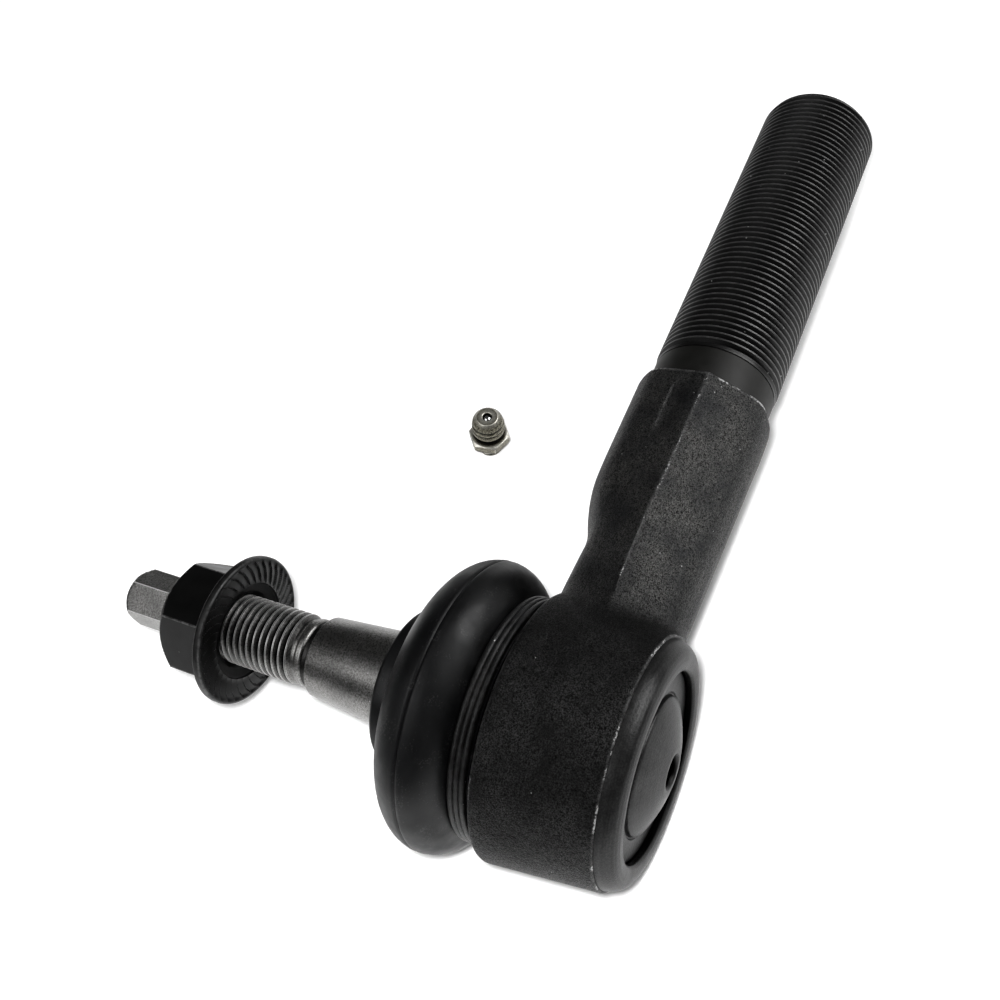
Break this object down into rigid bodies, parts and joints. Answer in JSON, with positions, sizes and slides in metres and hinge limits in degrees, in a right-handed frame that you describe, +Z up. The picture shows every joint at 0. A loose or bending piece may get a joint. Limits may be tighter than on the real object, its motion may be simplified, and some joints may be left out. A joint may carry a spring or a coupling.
{
  "type": "tie rod end",
  "caption": "Ball joint with a tapered threaded stud, flange nut and rubber boot in a forged housing with a threaded shank, and a loose grease fitting beside it.",
  "frame": {"origin": "centre of the ball, which is the joint's pivot point", "axes": "+X along the shank to its threaded end, +Y along the ball stud to its tip at rest, +Z up with the joint lying on its side on a bench"},
  "size_m": [0.1872, 0.1159, 0.054],
  "materials": {
    "forging": "black coated forged steel, shot-blasted grain, satin",
    "black_steel": "black oxide, smooth satin",
    "bare_steel": "bare machined steel",
    "zinc": "yellowish zinc plate",
    "ball": "polished",
    "spring": "spring steel",
    "rubber": "satin black",
    "bearing": "bearing polymer"
  },
  "bodies": {
    "socket": {"housing": "forging", "cover_plate": "black_steel", "front_bearing": "bearing", "preload_spring": "spring", "dust_boot": "rubber", "boot_clamp_ring": "black_steel"},
    "seat": {"pressure_seat": "bearing"},
    "lip": {"boot_lip": "rubber", "boot_lip_insert": "spring"},
    "stud": {"ball_stud": "bare_steel"},
    "nut": {"flange_nut": "black_steel"},
    "fitting": {"fitting_body": "zinc", "fitting_check_spring": "spring"},
    "check_ball": {"fitting_check_ball": "ball"}
  },
  "joints": [
    {"name": "swing_direction", "type": "hinge", "parent": "socket", "child": "seat", "pos_m": [0, 0, 0], "axis": [0, 1, 0], "continuous": true},
    {"name": "stud_swing", "type": "hinge", "parent": "seat", "child": "lip", "pos_m": [0, 0, 0], "axis": [1, 0, 0], "range_deg": [-20, 20], "deforming": ["dust_boot"]},
    {"name": "stud_spin", "type": "hinge", "parent": "lip", "child": "stud", "pos_m": [0, 0, 0], "axis": [0, 1, 0], "continuous": true},
    {"name": "nut_travel", "type": "slide", "parent": "stud", "child": "nut", "axis": [0, 1, 0], "range_m": [-0.014, 0.03]},
    {"name": "fitting_lift", "type": "slide", "parent": "socket", "child": "fitting", "axis": [0, 0, 1], "range_m": [0, 0.04]},
    {"name": "check_ball_press", "type": "slide", "parent": "fitting", "child": "check_ball", "axis": [0, 0.1736, -0.9848], "range_m": [0, 0.0008], "stiffness_N_per_m": 150, "springref_m": -0.002, "deforming": ["fitting_check_spring"]}
  ]
}
